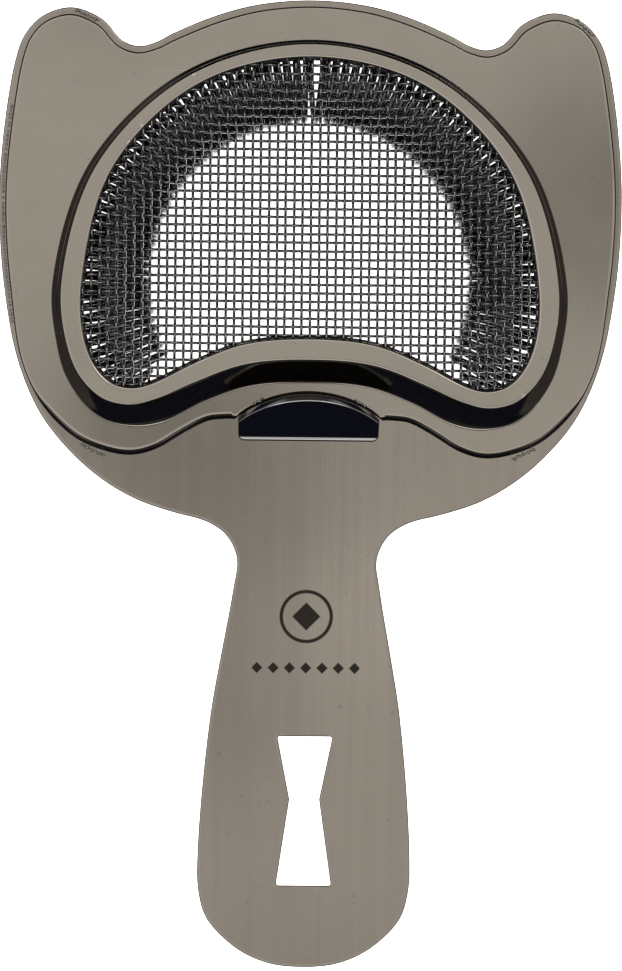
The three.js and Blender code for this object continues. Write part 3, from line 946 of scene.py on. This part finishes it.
def build_stage():
    """A pale, softly lit floor that curves up into a backdrop on every side."""
    builder = Builder()
    profile = [(FLOOR_MIDDLE, 0), (FLOOR_FLAT, 0)]
    profile += [(FLOOR_FLAT + FLOOR_CURVE * math.sin(a), FLOOR_CURVE * (1 - math.cos(a)))
                for a in np.linspace(0, math.pi / 2, 10)[1:]]
    profile.append((FLOOR_FLAT + FLOOR_CURVE, FLOOR_TOP))
    angles = 2 * math.pi * np.arange(FLOOR_SIDES) / FLOOR_SIDES
    rings = []
    for radius, z in profile:
        ring = np.column_stack([radius * np.cos(angles), radius * np.sin(angles),
                                np.full(FLOOR_SIDES, z)])
        rings.append(builder.ring(ring))
    for inner, outer in zip(rings, rings[1:]):
        builder.strip(outer, inner)
    builder.cap([rings[0]], up=True)
    floor = builder.build("studio_floor")
    floor.data.materials.append(floor_material())
    floor.visible_glossy = False
    floor.visible_shadow = False


def build_world():
    """Soft light overhead with a brighter rim, faint light from the sides and from below."""
    world = bpy.data.worlds.new("studio")
    bpy.context.scene.world = world
    world.use_nodes = True
    n = Nodes(world.node_tree)
    way = n.add("ShaderNodeTexCoord").outputs["Generated"]
    x, y, z = n.add("ShaderNodeSeparateXYZ", {"Vector": way}).outputs

    def blob(cx, cy, inner, outer):
        dx = n.math("SUBTRACT", x, cx)
        dy = n.math("SUBTRACT", y, cy)
        far = n.math("SQRT", n.math("ADD", n.math("MULTIPLY", dx, dx), n.math("MULTIPLY", dy, dy)))
        return n.smooth(far, outer, inner)

    overhead = n.smooth(z, *OVERHEAD_Z)
    rim = n.math("MULTIPLY", n.smooth(z, *RIM_LOW_Z), n.smooth(z, *RIM_HIGH_Z))
    shaded = 0.0
    for cx, cy, inner, outer, strength in DARK_PATCHES:
        patch = n.math("MULTIPLY", blob(cx, cy, inner, outer), strength)
        shaded = n.math("ADD", patch, shaded)
    light = n.math("MULTIPLY", overhead, n.math("SUBTRACT", 1.0, shaded))
    light = n.math("ADD", light, n.math("MULTIPLY", rim, RIM_LIGHT))
    dimming = n.math("MULTIPLY", x, RIGHT_DIMMING)
    light = n.math("MULTIPLY", light, n.math("SUBTRACT", 1.0, dimming))
    fill = n.math("MULTIPLY", n.smooth(z, *FILL_Z), FILL_LIGHT)
    sides = n.smooth(n.math("ABSOLUTE", x), *SIDE_X)
    sides = n.math("MULTIPLY", n.smooth(z, *SIDE_Z), sides)
    fill = n.math("ADD", fill, n.math("MULTIPLY", sides, SIDE_LIGHT))
    below = n.math("ADD", n.smooth(z, *BELOW_Z), n.smooth(z, *STEEP_BELOW_Z))
    fill = n.math("ADD", fill, below)
    glow = n.math("MULTIPLY", blob(*GLOW_PATCH), n.math("MULTIPLY", overhead, GLOW_LIGHT))
    light = n.math("ADD", light, glow)
    total = n.math("ADD", n.math("MAXIMUM", light, fill), LEAST_LIGHT)
    total = n.math("MULTIPLY", total, LIGHT_LEVEL)
    warm = n.math("ADD", n.smooth(z, *WARM_ABOVE_Z), n.smooth(z, *WARM_BELOW_Z))
    colour = n.mix(warm, COOL_LIGHT, WARM_LIGHT)
    background = n.add("ShaderNodeBackground", {"Color": colour, "Strength": total})
    n.add("ShaderNodeOutputWorld", {"Surface": background.outputs[0]})


def build_camera():
    """Above the head, a little to the left, aimed at the middle of the strainer."""
    data = bpy.data.cameras.new("camera")
    camera = bpy.data.objects.new("camera", data)
    bpy.context.scene.collection.objects.link(camera)
    _, plate_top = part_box("body_plate")
    place = Vector((CAMERA_X, CAMERA_Y, plate_top.z + CAMERA_DISTANCE))
    look = Vector((AIM_X, AIM_Y, plate_top.z)) - place
    camera.location = place
    turn = Matrix.Rotation(CAMERA_ROLL, 3, "Z")
    up = turn @ Vector((0, 1, 0))
    side = look.cross(up).normalized()
    axes = Matrix((side, side.cross(look).normalized(), -look.normalized())).transposed()
    camera.rotation_euler = axes.to_euler()
    data.sensor_width = 36
    data.lens = data.sensor_width * look.length / PICTURE_HEIGHT
    bpy.context.scene.camera = camera
    bpy.context.scene.view_settings.view_transform = "Standard"


build_object()
build_stage()
build_world()
build_camera()
